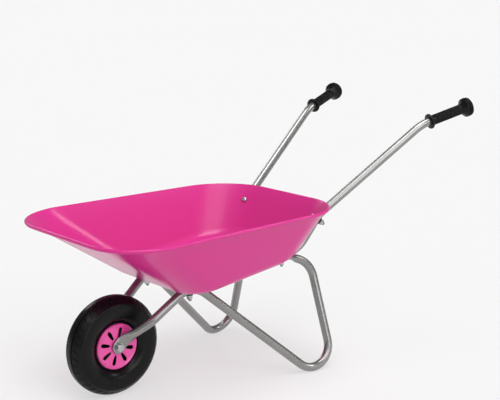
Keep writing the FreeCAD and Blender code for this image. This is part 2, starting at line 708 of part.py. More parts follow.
def makeTrayFasteners(where, sideName, side):
    place, way = boltPlaces[where]
    place, way = mirrored(place, side), mirrored(way, side)
    headSeat = dim("sheet_thickness") + (0.25 if where == "wall" else dim("fit_gap") - dim("seat_depth"))
    nutSeat = clampedDepth[where] + 0.05
    label = f"{where}_bolt_{sideName}"
    body = turnedBody(label + "_body", [
        ("0", "-sheet.head_height"), ("sheet.head_radius * 0.55", "-sheet.head_height"),
        ("sheet.head_radius * 0.88", "-sheet.head_height * 0.62"), ("sheet.head_radius", "-0.4"),
        ("sheet.head_radius", "0"), ("sheet.bolt_radius", "0"),
        ("sheet.bolt_radius", str(headSeat + nutSeat + dim("washer_thickness") + dim("nut_thickness")
                                  + dim("thread_stub") - 1)),
        ("sheet.bolt_radius - 0.8", str(headSeat + nutSeat + dim("washer_thickness") + dim("nut_thickness")
                                        + dim("thread_stub"))),
        ("0", str(headSeat + nutSeat + dim("washer_thickness") + dim("nut_thickness") + dim("thread_stub"))),
    ])
    body.Placement = along(place - way * headSeat, way)
    subPart(body, label)
    washer = washerLike(f"{where}_washer_{sideName}_set", "sheet.bolt_hole_radius", "sheet.washer_radius",
                        "sheet.washer_thickness", place + way * nutSeat, way)
    subPart(washer, f"{where}_washer_{sideName}")
    nut = hexBlock(f"{where}_nut_{sideName}_set", "sheet.nut_flats", "sheet.nut_thickness",
                   "sheet.bolt_radius + 0.02")
    nut.Placement = along(place + way * (nutSeat + dim("washer_thickness") + 0.05), way, 10)
    subPart(nut, f"{where}_nut_{sideName}")


# ---------------------------------------------------------------- build

# The handle tube's straight run is moved towards the rear wall until it rests on the pressed corner.
outerTub = filletedTub("tub_outside", (0, 0, 0, 0), (0, 0, 0, 0), 0)
wallDepth = dim("tube_radius")
for _ in range(4):
    handleCorners, handleRadii = handlePath(wallDepth)
    wallRun = Part.LineSegment(handleCorners[1] + (handleCorners[2] - handleCorners[1]) * 0.4, handleCorners[2])
    wallDepth += dim("tube_radius") + dim("fit_gap") - outerTub.Shape.distToShape(wallRun.toShape())[0]

# Where the bolts stand, for the left side: a point on the tray's outer surface and the way out.
humpArc = bentPath(*lowerFramePath())[5]
crest = min(humpArc.discretize(200), key=lambda place: (place - floorPoint(0, 0)).dot(floorDown))
wallTubePoint = handleCorners[2] + (handleCorners[1] - handleCorners[2]).normalize() * dim("wall_bolt_drop")
wallTouch = outerTub.Shape.distToShape(Part.Vertex(wallTubePoint))[1][0][0]
boltPlaces = {
    "front": (floorPoint(crest.x - dim("axle_x") - floorDown.x * dim("tube_radius"), crest.y), floorDown),
    "rear": (floorPoint(dim("rear_bolt_x"), handleLine(dim("rear_bolt_x"))), floorDown),
    "wall": (wallTouch, (wallTubePoint - wallTouch).normalize()),
}

# The round tube curves away under a washer in the hump, and a little above the wall bolt.
humpInside = dim("hump_bend") - dim("tube_radius")
humpSag = humpInside - math.sqrt(humpInside ** 2 - dim("washer_radius") ** 2)
roundDepth = 2 * dim("tube_radius") + dim("fit_gap")
clampedDepth = {
    "front": roundDepth + humpSag + dim("fit_gap"),
    "rear": dim("handle_lug_thickness") + dim("leg_lug_thickness") + 2 * dim("fit_gap"),
    "wall": (wallTubePoint - wallTouch).Length + dim("tube_radius") + 0.5,
}

subPart(makeTray(outerTub), "tray")
drills = boltHoles("frame_drills")
for maker, label in ((makeLowerFrame, "lower_frame"), (makeHandle, "handle_tube")):
    leftTube = subPart(maker(drills), label + "_left")
    subPart(mirrorOf(label + "_mirrored", leftTube), label + "_right")
for sideName, side in SIDES.items():
    subPart(makeGrip(f"grip_body_{sideName}", side), f"grip_{sideName}")
    for where in boltPlaces:
        makeTrayFasteners(where, sideName, side)
    subPart(makeHubCover(f"cover_body_{sideName}", side), f"hub_cover_{sideName}")
    subPart(makeBush(f"bush_body_{sideName}", side), f"hub_bush_{sideName}")

wheelPlace = along(Vector(ahead(0), 0, dim("wheel_radius")), Vector(0, 1, 0))
for maker, label in ((makeTyre, "tyre"), (makeWheelRim, "wheel_rim")):
    wheelPiece = maker()
    wheelPiece.Placement = wheelPlace
    subPart(wheelPiece, label)
makeAxleSet()

doc.recompute()
for item in doc.Objects:
    bad = [state for state in item.State if state in ("Invalid", "Error")]
    if bad:
        raise RuntimeError(f"{item.Label} is {bad}")
for piece in subParts:
    if piece.Shape.isNull() or not piece.Shape.isValid():
        raise RuntimeError(f"{piece.Label} has no valid shape")

whole = FreeCAD.BoundBox()
for piece in subParts:
    whole.add(piece.Shape.BoundBox)
    piece.Shape.exportStep(f"parts/{piece.Label}.step")
print(f"{len(subParts)} sub-parts, box {whole}")
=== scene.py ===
import json
import math

import bmesh
import bpy
from mathutils import Matrix, Vector


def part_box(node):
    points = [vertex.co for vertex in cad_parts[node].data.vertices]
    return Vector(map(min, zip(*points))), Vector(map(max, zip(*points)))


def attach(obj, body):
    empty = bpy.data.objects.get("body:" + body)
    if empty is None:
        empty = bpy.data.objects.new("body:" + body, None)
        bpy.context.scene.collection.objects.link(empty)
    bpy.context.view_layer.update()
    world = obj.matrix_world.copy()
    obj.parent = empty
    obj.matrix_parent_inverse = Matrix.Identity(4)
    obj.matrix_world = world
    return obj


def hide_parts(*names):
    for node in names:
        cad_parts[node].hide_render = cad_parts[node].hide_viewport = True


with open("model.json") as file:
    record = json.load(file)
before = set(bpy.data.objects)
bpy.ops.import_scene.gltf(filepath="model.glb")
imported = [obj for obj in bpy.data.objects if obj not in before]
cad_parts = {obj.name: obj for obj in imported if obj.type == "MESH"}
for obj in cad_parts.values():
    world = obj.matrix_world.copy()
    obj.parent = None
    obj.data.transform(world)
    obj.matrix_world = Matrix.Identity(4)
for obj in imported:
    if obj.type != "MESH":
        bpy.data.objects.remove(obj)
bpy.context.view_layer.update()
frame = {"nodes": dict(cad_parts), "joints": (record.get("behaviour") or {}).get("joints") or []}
scene = bpy.context.scene
wheelAxle = Vector(frame["joints"][0]["pos_m"])
sides = {"left": 1, "right": -1}
print("frame loaded,", len(frame["nodes"]), "nodes")

view = {
    "place": (1.3720, 1.6357, 0.7521),
    "ahead": (-0.6302, -0.7493, -0.2035),
    "lens": 82.72,
    "sensor": 36,
}


def makeCamera():
    data = bpy.data.cameras.new("viewCamera")
    data.lens = view["lens"]
    data.sensor_width = view["sensor"]
    data.clip_end = 200
    camera = bpy.data.objects.new("viewCamera", data)
    camera.location = view["place"]
    camera.rotation_euler = Vector(view["ahead"]).to_track_quat("-Z", "Y").to_euler()
    scene.collection.objects.link(camera)
    scene.camera = camera


studio = {
    "floorSize": 90,
    "floorColour": (0.30, 0.30, 0.30, 1),
    "floorGlow": 0.575,  # the floor gives off light itself, so its shadows stay faint
    "skyStrength": 0.24,
    "backdrop": 0.92,  # what the camera sees behind the floor
    "glow": ((0.30, 0.50, 0.81), 4, 0.80),  # middle, how fast it fades, brightness over the sky
    "sunStrength": 0.55,
    "sunSpread": 40,  # degrees across, so shadows are soft
    "sunTilt": (36, 0, 150),
    "panelLevel": (-0.64, 0.77, 0),  # each panel's width runs square to this
    "panelTurned": (0.05, 0.1),  # a panel fades out as the sky turns edge-on to it
    "panels": (
        # direction of the middle, half width, half height, brightness over the sky
        ((0.05, 0.02, 1.00), 0.24, 0.24, 5.5),
        ((0.04, 0.93, 0.34), 0.31, 0.20, 2.6),
        ((-0.11, -0.86, 0.51), 0.12, 0.12, 4.0),
        ((-0.48, 0.85, 0.22), 0.13, 0.10, 1.8),
        ((-0.66, 0.44, 0.61), 0.10, 0.16, 6.5),
    ),
    "panelEdge": 0.015,  # width of a panel's soft edge
}


def makeSky():
    # a dim sky with one broad glow overhead and a few soft panels, all far away
    world = bpy.data.worlds.new("studioSky")
    world.use_nodes = True
    tree = world.node_tree
    look = place(tree, "ShaderNodeTexCoord").outputs["Generated"]
    middle, fade, brightness = studio["glow"]
    facing = maths(tree, "MAXIMUM", dotWith(tree, look, Vector(middle).normalized()), 0)
    glow = maths(tree, "POWER", facing, fade)
    total = maths(tree, "MULTIPLY_ADD", glow, brightness, studio["skyStrength"])
    turned, clear = studio["panelTurned"]
    edge = studio["panelEdge"]
    for middle, halfWidth, halfHeight, brightness in studio["panels"]:
        ahead = Vector(middle).normalized()
        right = ahead.cross(Vector(studio["panelLevel"])).normalized()
        upward = right.cross(ahead)
        depth = dotWith(tree, look, ahead)
        inside = remap(tree, depth, turned, clear)
        limited = maths(tree, "MAXIMUM", depth, turned)
        for axis, half in ((right, halfWidth), (upward, halfHeight)):
            spread = maths(tree, "DIVIDE", dotWith(tree, look, axis), limited)
            reach = maths(tree, "ABSOLUTE", spread)
            inside = maths(tree, "MULTIPLY", inside, remap(tree, reach, half + edge, half))
        total = maths(tree, "MULTIPLY_ADD", inside, brightness, total)
    seen = place(tree, "ShaderNodeLightPath").outputs["Is Camera Ray"]  # no panel shows behind
    toPlain = maths(tree, "SUBTRACT", studio["backdrop"], total)
    total = maths(tree, "MULTIPLY_ADD", seen, toPlain, total)
    background = tree.nodes["Background"]
    background.inputs["Color"].default_value = (1, 1, 1, 1)
    tree.links.new(total, background.inputs["Strength"])
    scene.world = world


def makeStudio():
    scene.view_settings.view_transform = "Standard"
    makeSky()

    bm = bmesh.new()
    bmesh.ops.create_grid(bm, x_segments=1, y_segments=1, size=studio["floorSize"] / 2)
    mesh = bpy.data.meshes.new("studioFloor")
    bm.to_mesh(mesh)
    bm.free()
    mesh.materials.append(makeFloorPaper())
    floor = bpy.data.objects.new("studioFloor", mesh)
    scene.collection.objects.link(floor)

    sun = bpy.data.lights.new("mainLight", "SUN")
    sun.energy = studio["sunStrength"]
    sun.angle = math.radians(studio["sunSpread"])
    sunObject = bpy.data.objects.new("mainLight", sun)
    sunObject.rotation_euler = [math.radians(angle) for angle in studio["sunTilt"]]
    scene.collection.objects.link(sunObject)


def place(tree, kind, inputs=None, **settings):
    node = tree.nodes.new(kind)
    for key, value in settings.items():
        setattr(node, key, value)
    for key, value in (inputs or {}).items():
        if isinstance(value, bpy.types.NodeSocket):
            tree.links.new(value, node.inputs[key])
        else:
            node.inputs[key].default_value = value
    return node


def newGroup(name, inputs, outputs):
    group = bpy.data.node_groups.new(name, "ShaderNodeTree")
    for label, kind, value in inputs:
        socket = group.interface.new_socket(name=label, in_out="INPUT", socket_type=kind)
        socket.default_value = value
    for label, kind in outputs:
        group.interface.new_socket(name=label, in_out="OUTPUT", socket_type=kind)
    entry = place(group, "NodeGroupInput").outputs
    leave = place(group, "NodeGroupOutput").inputs
    return group, entry, leave


def useGroup(tree, group, **inputs):
    node = place(tree, "ShaderNodeGroup", node_tree=group)
    for key, value in inputs.items():
        if isinstance(value, bpy.types.NodeSocket):
            tree.links.new(value, node.inputs[key])
        else:
            node.inputs[key].default_value = value
    return node.outputs


def objectPlace(tree):
    return place(tree, "ShaderNodeTexCoord").outputs["Object"]


def noise(tree, scale, detail=3, rough=0.55):
    inputs = {"Vector": objectPlace(tree), "Scale": scale, "Detail": detail, "Roughness": rough}
    return place(tree, "ShaderNodeTexNoise", inputs).outputs["Fac"]


def remap(tree, value, low, high, toLow=0.0, toHigh=1.0):
    inputs = {"Value": value, "From Min": low, "From Max": high, "To Min": toLow, "To Max": toHigh}
    return place(tree, "ShaderNodeMapRange", inputs).outputs["Result"]


def maths(tree, operation, *values):
    return place(tree, "ShaderNodeMath", dict(enumerate(values)), operation=operation).outputs[0]


def dotWith(tree, vector, axis):
    pair = {0: vector, 1: axis}
    return place(tree, "ShaderNodeVectorMath", pair, operation="DOT_PRODUCT").outputs["Value"]


def scaleColour(tree, colour, amount):
    inputs = {0: colour, "Scale": amount}
    return place(tree, "ShaderNodeVectorMath", inputs, operation="SCALE").outputs[0]


def mixColour(tree, amount, first, second):
    inputs = {0: amount, 6: first, 7: second}  # its colour sockets
    return place(tree, "ShaderNodeMix", inputs, data_type="RGBA").outputs[2]


def makeTintGroup():
    # slow change of shade over a surface, as paint and rubber have
    group, entry, leave = newGroup(
        "shadeDrift",
        (("Colour", "NodeSocketColor", (0.5, 0.5, 0.5, 1)), ("Scale", "NodeSocketFloat", 8),
         ("Amount", "NodeSocketFloat", 0.05)),
        (("Colour", "NodeSocketColor"),))
    wide = noise(group, entry["Scale"], 4, 0.5)
    low = maths(group, "SUBTRACT", 1.0, entry["Amount"])
    high = maths(group, "ADD", 1.0, entry["Amount"])
    shade = remap(group, wide, 0.3, 0.7, low, high)
    group.links.new(scaleColour(group, entry["Colour"], shade), leave["Colour"])
    return group


def makePeelGroup():
    # skin of sprayed enamel: fine orange peel over slow waves in the sheet
    group, entry, leave = newGroup(
        "enamelSkin",
        (("Peel", "NodeSocketFloat", 260), ("Wave", "NodeSocketFloat", 9)),
        (("Height", "NodeSocketFloat"), ("Roughness", "NodeSocketFloat")))
    peel = noise(group, entry["Peel"], 2, 0.5)
    wave = noise(group, entry["Wave"], 1, 0.5)
    peelDepth = 0.02  # against the waves
    group.links.new(maths(group, "MULTIPLY_ADD", peel, peelDepth, wave), leave["Height"])
    haze = noise(group, 30, 5, 0.5)
    group.links.new(remap(group, haze, 0.35, 0.75, -0.01, 0.02), leave["Roughness"])
    return group


def makeWearGroup():
    # mask of rubbed corners, broken up by noise
    group, entry, leave = newGroup(
        "edgeWear",
        (("Width", "NodeSocketFloat", 0.0008), ("Scale", "NodeSocketFloat", 120),
         ("Amount", "NodeSocketFloat", 0.5)),
        (("Mask", "NodeSocketFloat"),))
    rounded = place(group, "ShaderNodeBevel", {"Radius": entry["Width"]}, samples=4)
    facing = place(group, "ShaderNodeNewGeometry")
    agree = dotWith(group, rounded.outputs["Normal"], facing.outputs["Normal"])
    edge = remap(group, agree, 0.97, 0.85)
    patchy = noise(group, entry["Scale"], 6, 0.5)
    broken = remap(group, patchy, 0.48, 0.62)
    rubbed = maths(group, "MULTIPLY", edge, broken)
    group.links.new(maths(group, "MULTIPLY", rubbed, entry["Amount"]), leave["Mask"])
    return group


def makeDustGroup():
    # thin dust that lies on what faces up
    group, entry, leave = newGroup(
        "settledDust",
        (("Scale", "NodeSocketFloat", 40), ("Amount", "NodeSocketFloat", 0.1)),
        (("Mask", "NodeSocketFloat"),))
    facing = place(group, "ShaderNodeNewGeometry")
    split = place(group, "ShaderNodeSeparateXYZ", {"Vector": facing.outputs["Normal"]})
    up = remap(group, split.outputs["Z"], 0.2, 1.0)
    cloud = noise(group, entry["Scale"], 8, 0.7)
    specks = remap(group, cloud, 0.45, 0.75)
    layer = maths(group, "MULTIPLY", up, specks)
    group.links.new(maths(group, "MULTIPLY", layer, entry["Amount"]), leave["Mask"])
    return group


def makeGrainGroup():
    # pebbled grain of moulded rubber and plastic
    group, entry, leave = newGroup(
        "mouldGrain",
        (("Scale", "NodeSocketFloat", 900), ("Soft", "NodeSocketFloat", 0.5)),
        (("Height", "NodeSocketFloat"), ("Roughness", "NodeSocketFloat")))
    where = {"Vector": objectPlace(group), "Scale": entry["Scale"]}
    cells = place(group, "ShaderNodeTexVoronoi", where).outputs["Distance"]
    cloud = noise(group, entry["Scale"], 3, 0.5)
    group.links.new(maths(group, "MULTIPLY_ADD", cloud, entry["Soft"], cells), leave["Height"])
    smear = noise(group, 25, 5, 0.5)
    group.links.new(remap(group, smear, 0.3, 0.7, -0.06, 0.08), leave["Roughness"])
    return group


shadeDrift = makeTintGroup()
enamelSkin = makePeelGroup()
edgeWear = makeWearGroup()
settledDust = makeDustGroup()
mouldGrain = makeGrainGroup()
print("shared surface effects made")


def startMaterial(name, **settings):
    material = bpy.data.materials.new(name)
    material.use_nodes = True
    tree = material.node_tree
    shader = tree.nodes["Principled BSDF"]
    for label, value in settings.items():
        shader.inputs[label.replace("_", " ")].default_value = value
    return material, tree, shader


def addBump(tree, shader, height, strength, distance):
    inputs = {"Height": height, "Strength": strength, "Distance": distance}
    bump = place(tree, "ShaderNodeBump", inputs)
    tree.links.new(bump.outputs["Normal"], shader.inputs["Normal"])


def makeFloorPaper():
    material, tree, shader = startMaterial("floorPaper", Roughness=0.9)
    tone = useGroup(tree, shadeDrift, Colour=studio["floorColour"], Scale=0.6, Amount=0.004)
    tree.links.new(tone["Colour"], shader.inputs["Base Color"])
    shader.inputs["Specular IOR Level"].default_value = 0.0
    shader.inputs["Emission Color"].default_value = (1, 1, 1, 1)
    shader.inputs["Emission Strength"].default_value = studio["floorGlow"]
    return material


pinkPaint = {
    "colour": (0.63, 0.026, 0.240, 1),
    "dust": (0.75, 0.45, 0.55, 1),
    "chip": (0.30, 0.28, 0.28, 1),
    "roughness": 0.24,
    "shader": {"Coat_Weight": 0.08, "Coat_Roughness": 0.03, "Specular_IOR_Level": 0.30},
}


def makePinkPaint():
    paint = pinkPaint
    material, tree, shader = startMaterial("pinkEnamel", **paint["shader"])
    tone = useGroup(tree, shadeDrift, Colour=paint["colour"], Scale=5, Amount=0.02)["Colour"]
    dust = useGroup(tree, settledDust, Scale=60, Amount=0.012)["Mask"]
    dusty = mixColour(tree, dust, tone, paint["dust"])
    wear = useGroup(tree, edgeWear, Width=0.0005, Scale=160, Amount=0.2)["Mask"]
    tree.links.new(mixColour(tree, wear, dusty, paint["chip"]), shader.inputs["Base Color"])
    skin = useGroup(tree, enamelSkin, Peel=260, Wave=5)
    gloss = maths(tree, "ADD", skin["Roughness"], paint["roughness"])
    tree.links.new(maths(tree, "ADD", gloss, dust), shader.inputs["Roughness"])
    addBump(tree, shader, skin["Height"], 0.2, 0.002)
    return material


silverPaint = {
    "colour": (0.285, 0.285, 0.278, 1),
    "dark": (0.16, 0.155, 0.15, 1),
    "metal": (0.79, 0.85),
    "flake": (0.90, 1.10),
    "roughness": 0.24,
    "shader": {"Coat_Weight": 0.25, "Coat_Roughness": 0.12},
}


def makeSilverPaint():
    paint = silverPaint
    material, tree, shader = startMaterial("silverEnamel", **paint["shader"])
    tone = useGroup(tree, shadeDrift, Colour=paint["colour"], Scale=18, Amount=0.05)["Colour"]
    flake = remap(tree, noise(tree, 2600, 2), 0.3, 0.7, *paint["flake"])
    sparkle = scaleColour(tree, tone, flake)
    wear = useGroup(tree, edgeWear, Width=0.0006, Scale=200, Amount=0.25)["Mask"]
    tree.links.new(mixColour(tree, wear, sparkle, paint["dark"]), shader.inputs["Base Color"])
    metal = remap(tree, noise(tree, 60, 4), 0.3, 0.7, *paint["metal"])
    tree.links.new(metal, shader.inputs["Metallic"])
    skin = useGroup(tree, enamelSkin, Peel=500, Wave=20)
    gloss = maths(tree, "ADD", skin["Roughness"], paint["roughness"])
    tree.links.new(gloss, shader.inputs["Roughness"])
    addBump(tree, shader, skin["Height"], 0.07, 0.001)
    return material


zincPlate = {
    "colour": (0.52, 0.52, 0.51, 1),
    "blue": (0.40, 0.425, 0.46, 1),
    "rubbed": (0.78, 0.78, 0.77, 1),
    "metal": (0.9, 1.0),
    "roughness": (0.16, 0.32),
}


def makeZincPlate():
    plate = zincPlate
    material, tree, shader = startMaterial("zincPlate")
    spangle = place(tree, "ShaderNodeTexVoronoi", {"Vector": objectPlace(tree), "Scale": 700})
    cast = mixColour(tree, spangle.outputs["Color"], plate["colour"], plate["blue"])
    tone = useGroup(tree, shadeDrift, Colour=cast, Scale=150, Amount=0.08)["Colour"]
    wear = useGroup(tree, edgeWear, Width=0.0003, Scale=500, Amount=0.5)["Mask"]
    tree.links.new(mixColour(tree, wear, tone, plate["rubbed"]), shader.inputs["Base Color"])
    metal = remap(tree, noise(tree, 400, 3), 0.3, 0.7, *plate["metal"])
    tree.links.new(metal, shader.inputs["Metallic"])
    rough = remap(tree, noise(tree, 220, 4), 0.3, 0.7, *plate["roughness"])
    tree.links.new(rough, shader.inputs["Roughness"])
    addBump(tree, shader, noise(tree, 1500, 3), 0.15, 0.0003)
    return material


mouldings = {
    # rubber and plastic: grain is how fine the pebbling is, worn is the colour of rubbed edges
    "tyreRubber": {"colour": (0.0035, 0.0035, 0.004, 1), "roughness": 0.25, "grain": 1400,
                   "grainDepth": 0.00008, "dust": 0.004, "worn": (0.02, 0.02, 0.02, 1),
                   "wear": 0.3, "shader": {"Specular_IOR_Level": 0.18}},
    "gripRubber": {"colour": (0.003, 0.003, 0.0035, 1), "roughness": 0.22, "grain": 1900,
                   "grainDepth": 0.00004, "dust": 0.004, "worn": (0.06, 0.06, 0.06, 1),
                   "wear": 0.35, "shader": {"Specular_IOR_Level": 0.22}},
    "blackPlastic": {"colour": (0.004, 0.004, 0.0045, 1), "roughness": 0.38, "grain": 1700,
                     "grainDepth": 0.0001, "dust": 0.01, "worn": (0.02, 0.02, 0.02, 1),
                     "wear": 0.3, "shader": {"Specular_IOR_Level": 0.3}},
    "pinkPlastic": {"colour": (0.78, 0.065, 0.34, 1), "roughness": 0.24, "grain": 2200,
                    "grainDepth": 0.00003, "dust": 0.02, "worn": (0.85, 0.30, 0.52, 1),
                    "wear": 0.3, "shader": {"Coat_Weight": 0.5, "Coat_Roughness": 0.08}},
    "bushNylon": {"colour": (0.03, 0.03, 0.032, 1), "roughness": 0.45, "grain": 1500,
                  "grainDepth": 0.0001, "dust": 0.02, "worn": (0.06, 0.06, 0.06, 1),
                  "wear": 0.3, "shader": {}},
}
mouldedDust = (0.42, 0.40, 0.37, 1)


def makeMoulded(name):
    look = mouldings[name]
    material, tree, shader = startMaterial(name, **look["shader"])
    tone = useGroup(tree, shadeDrift, Colour=look["colour"], Scale=22, Amount=0.08)["Colour"]
    wear = useGroup(tree, edgeWear, Width=0.0007, Scale=140, Amount=look["wear"])["Mask"]
    rubbed = mixColour(tree, wear, tone, look["worn"])
    dust = useGroup(tree, settledDust, Scale=90, Amount=look["dust"])["Mask"]
    tree.links.new(mixColour(tree, dust, rubbed, mouldedDust), shader.inputs["Base Color"])
    grain = useGroup(tree, mouldGrain, Scale=look["grain"], Soft=0.6)
    gloss = maths(tree, "ADD", grain["Roughness"], look["roughness"])
    tree.links.new(gloss, shader.inputs["Roughness"])
    addBump(tree, shader, grain["Height"], 0.3, look["grainDepth"])
    return material


pinkEnamel = makePinkPaint()
silverEnamel = makeSilverPaint()
zinc = makeZincPlate()
tyreRubber, gripRubber, blackPlastic, pinkPlastic, bushNylon = map(makeMoulded, mouldings)
print("finishes made")

nodeFinishes = {
    # the start of a CAD node's name, and its finish
    "lower_frame": silverEnamel, "handle_tube": silverEnamel,
    "tray": pinkEnamel, "tyre": tyreRubber, "grip": gripRubber, "hub_cover": pinkPlastic,
    "wheel_rim": blackPlastic, "hub_bush": bushNylon, "axle": zinc,
    "front_bolt": zinc, "front_nut": zinc, "front_washer": zinc,
    "rear_bolt": zinc, "rear_nut": zinc, "rear_washer": zinc,
    "wall_bolt": zinc, "wall_nut": zinc, "wall_washer": zinc,
}


def finishNodes():
    for node, piece in frame["nodes"].items():
        for start, material in nodeFinishes.items():
            if node.startswith(start):
                for slot in piece.material_slots:
                    slot.material = material


def makePiece(name, bm, material, body, replaced=(), sharp=32):
    bmesh.ops.remove_doubles(bm, verts=bm.verts, dist=1e-6)
    bmesh.ops.recalc_face_normals(bm, faces=bm.faces)
    mesh = bpy.data.meshes.new(name)
    bm.to_mesh(mesh)
    bm.free()
    mesh.materials.append(material)
    mesh.shade_smooth()
    mesh.set_sharp_from_angle(angle=math.radians(sharp))
    piece = bpy.data.objects.new(name, mesh)
    scene.collection.objects.link(piece)
    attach(piece, body)
    if replaced:
        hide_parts(*replaced)
    return piece


def spinProfile(bm, outline, centre, along, steps, closed=False, first=None):
    # outline pairs are (radius, distance along the axis)
    across = first or along.orthogonal().normalized()
    chain = [bm.verts.new(centre + across * radius + along * reach) for radius, reach in outline]
    edges = [bm.edges.new(pair) for pair in zip(chain, chain[1:])]
    if closed:
        edges.append(bm.edges.new((chain[-1], chain[0])))
    bmesh.ops.spin(bm, geom=chain + edges, cent=centre, axis=along, angle=math.tau, steps=steps,
                   use_merge=True, use_duplicate=False)


trayShape = {
    # corners as (ahead of the axle, half width, height), on the outside of the sheet
    "floor": {"front": (-0.0890, 0.1310, 0.1852), "rear": (-0.3506, 0.1310, 0.2211),
              "frontRound": 0.052, "rearRound": 0.075},
    "mouth": {"front": (0.0945, 0.1923, 0.3027), "rear": (-0.4095, 0.1707, 0.3094),
              "frontRound": 0.101, "rearRound": 0.097},
    "cornerSteps": 14,
    "wallCuts": 3,
    "bendFront": 0.0088, "bendSide": 0.0149, "bendRear": 0.0203, "bendSteps": 8,
    "sheet": 0.0012, "rollRadius": 0.0034, "rollSteps": 11, "rollTurn": 285,
}


def trayLoop(bm, level):
    shape = trayShape[level]
    corners = []
    for end, side in (("front", 1), ("rear", 1), ("rear", -1), ("front", -1)):
        x, half, height = shape[end]
        corners.append(bm.verts.new((wheelAxle.x + x, side * half, height)))
    before = set(bm.edges)
    for i in range(4):
        bm.edges.new((corners[i], corners[(i + 1) % 4]))
    for pair, radius in (((0, 3), shape["frontRound"]), ((1, 2), shape["rearRound"])):
        bmesh.ops.bevel(bm, geom=[corners[i] for i in pair], offset=radius,
                        offset_type="OFFSET", segments=trayShape["cornerSteps"], profile=0.5,
                        affect="VERTICES", material=-1, clamp_overlap=False)
    return [edge for edge in bm.edges if edge not in before]


def rollRim(bm, rimEdges):
    # extrude the mouth edge round a circle that the wall runs into
    shape = trayShape
    radius = shape["rollRadius"]
    upward = Vector((0, 0, 1))
    quarter = math.pi / 2
    turn = math.radians(shape["rollTurn"]) / shape["rollSteps"]
    ends = [vert.co for edge in rimEdges for vert in edge.verts]
    middle = sum(ends, Vector()) / len(ends)
    onRim = set(rimEdges)
    start = {}
    for vert in {vert for edge in rimEdges for vert in edge.verts}:
        one, other = [edge.other_vert(vert).co for edge in vert.link_edges if edge in onRim]
        way = (one - vert.co).normalized() - (other - vert.co).normalized()
        outward = way.cross(upward).normalized()
        if outward.dot(vert.co - middle) < 0:
            outward = -outward
        wall = [edge for edge in vert.link_edges if edge not in onRim][0]
        rise = (vert.co - wall.other_vert(vert).co).normalized()
        start[vert] = (outward, math.atan2(rise.z, rise.dot(outward)))
    current = rimEdges
    chains = {vert: vert for vert in start}
    for step in range(shape["rollSteps"]):
        made = bmesh.ops.extrude_edge_only(bm, edges=current)["geom"]
        newVerts = {item for item in made if isinstance(item, bmesh.types.BMVert)}
        following = {}
        for root, vert in chains.items():
            neighbours = [edge.other_vert(vert) for edge in vert.link_edges]
            other = [near for near in neighbours if near in newVerts][0]
            outward, lean = start[root]
            first = lean - turn * step + quarter
            after = lean - turn * (step + 1) + quarter
            move = (outward * (math.cos(after) - math.cos(first))
                    + upward * (math.sin(after) - math.sin(first)))
            other.co = vert.co + move * radius
            following[root] = other
        chains = following
        current = [item for item in made if isinstance(item, bmesh.types.BMEdge)
                   and all(vert in newVerts for vert in item.verts)]


def makeTray():
    shape = trayShape
    bm = bmesh.new()
    weight = bm.edges.layers.float.new("bevel_weight_edge")
    floorEdges = trayLoop(bm, "floor")
    rimEdges = trayLoop(bm, "mouth")
    bmesh.ops.bridge_loops(bm, edges=floorEdges + rimEdges)
    bmesh.ops.contextual_create(bm, geom=floorEdges)
    middleX = wheelAxle.x + (shape["floor"]["front"][0] + shape["floor"]["rear"][0]) / 2
    middle = Vector((middleX, 0, 0))
    widest = shape["bendRear"]
    for edge in floorEdges:
        here = (edge.verts[0].co + edge.verts[1].co) / 2 - middle
        run = (edge.verts[1].co - edge.verts[0].co).normalized()
        outward = Vector((run.y, -run.x, 0)).normalized()
        if outward.dot(here) < 0:
            outward = -outward
        end = shape["bendFront"] if outward.x > 0 else shape["bendRear"]
        edge[weight] = (shape["bendSide"] + (end - shape["bendSide"]) * outward.x ** 2) / widest
    level = set(floorEdges + rimEdges)
    upright = [edge for edge in bm.edges if edge not in level]
    bmesh.ops.subdivide_edges(bm, edges=upright, cuts=shape["wallCuts"], use_grid_fill=True)
    topEdges = [edge for edge in bm.edges if len(edge.link_faces) == 1]
    rollRim(bm, topEdges)
    piece = makePiece("trayPan", bm, pinkEnamel, "frame", ("tray",), sharp=50)
    bend = piece.modifiers.new("bottomBend", "BEVEL")
    bend.limit_method = "WEIGHT"
    bend.width = widest
    bend.segments = shape["bendSteps"]
    bend.use_clamp_overlap = False
    bend.harden_normals = True
    wall = piece.modifiers.new("sheetThickness", "SOLIDIFY")
    wall.thickness = shape["sheet"]
    wall.offset = -1
    wall.use_even_offset = True
    return piece


tyreShape = {
    # half section from the bead to the tread, (radius, distance from the middle plane)
    "side": ((0.0430, 0.0108), (0.0440, 0.0122), (0.0456, 0.0142), (0.0478, 0.0164),
             (0.0503, 0.0184), (0.0530, 0.0201), (0.0560, 0.0213), (0.0600, 0.0224),
             (0.0650, 0.0232), (0.0700, 0.0234), (0.0740, 0.0230), (0.0766, 0.0221),
             (0.0771, 0.0225), (0.0782, 0.0221), (0.0790, 0.0208), (0.0818, 0.0188)),
    "tread": ((0.0846, 0.0163), (0.0866, 0.0135), (0.0882, 0.0104), (0.0890, 0.0084),
              (0.0864, 0.0077), (0.0864, 0.0062), (0.0896, 0.0055), (0.0899, 0.0028)),
    "crown": 0.0900,
    "bore": 0.0430,
    "steps": 152,
    "cutEvery": 4,  # columns from one shoulder cut to the next
    "cutFrom": 0.0818,  # the cuts lie outside this radius
    "cutInner": 0.0100,  # and this far from the middle plane
    "cutInset": 0.0004,
    "cutDepth": 0.0014,
    "slant": 7.0,  # degrees that the shoulder cuts lean round the wheel
    "slantFrom": 0.0790,
    "slantInner": 0.0060,
    "slantRun": 0.0130,
    "edgeRound": 0.00025,
}


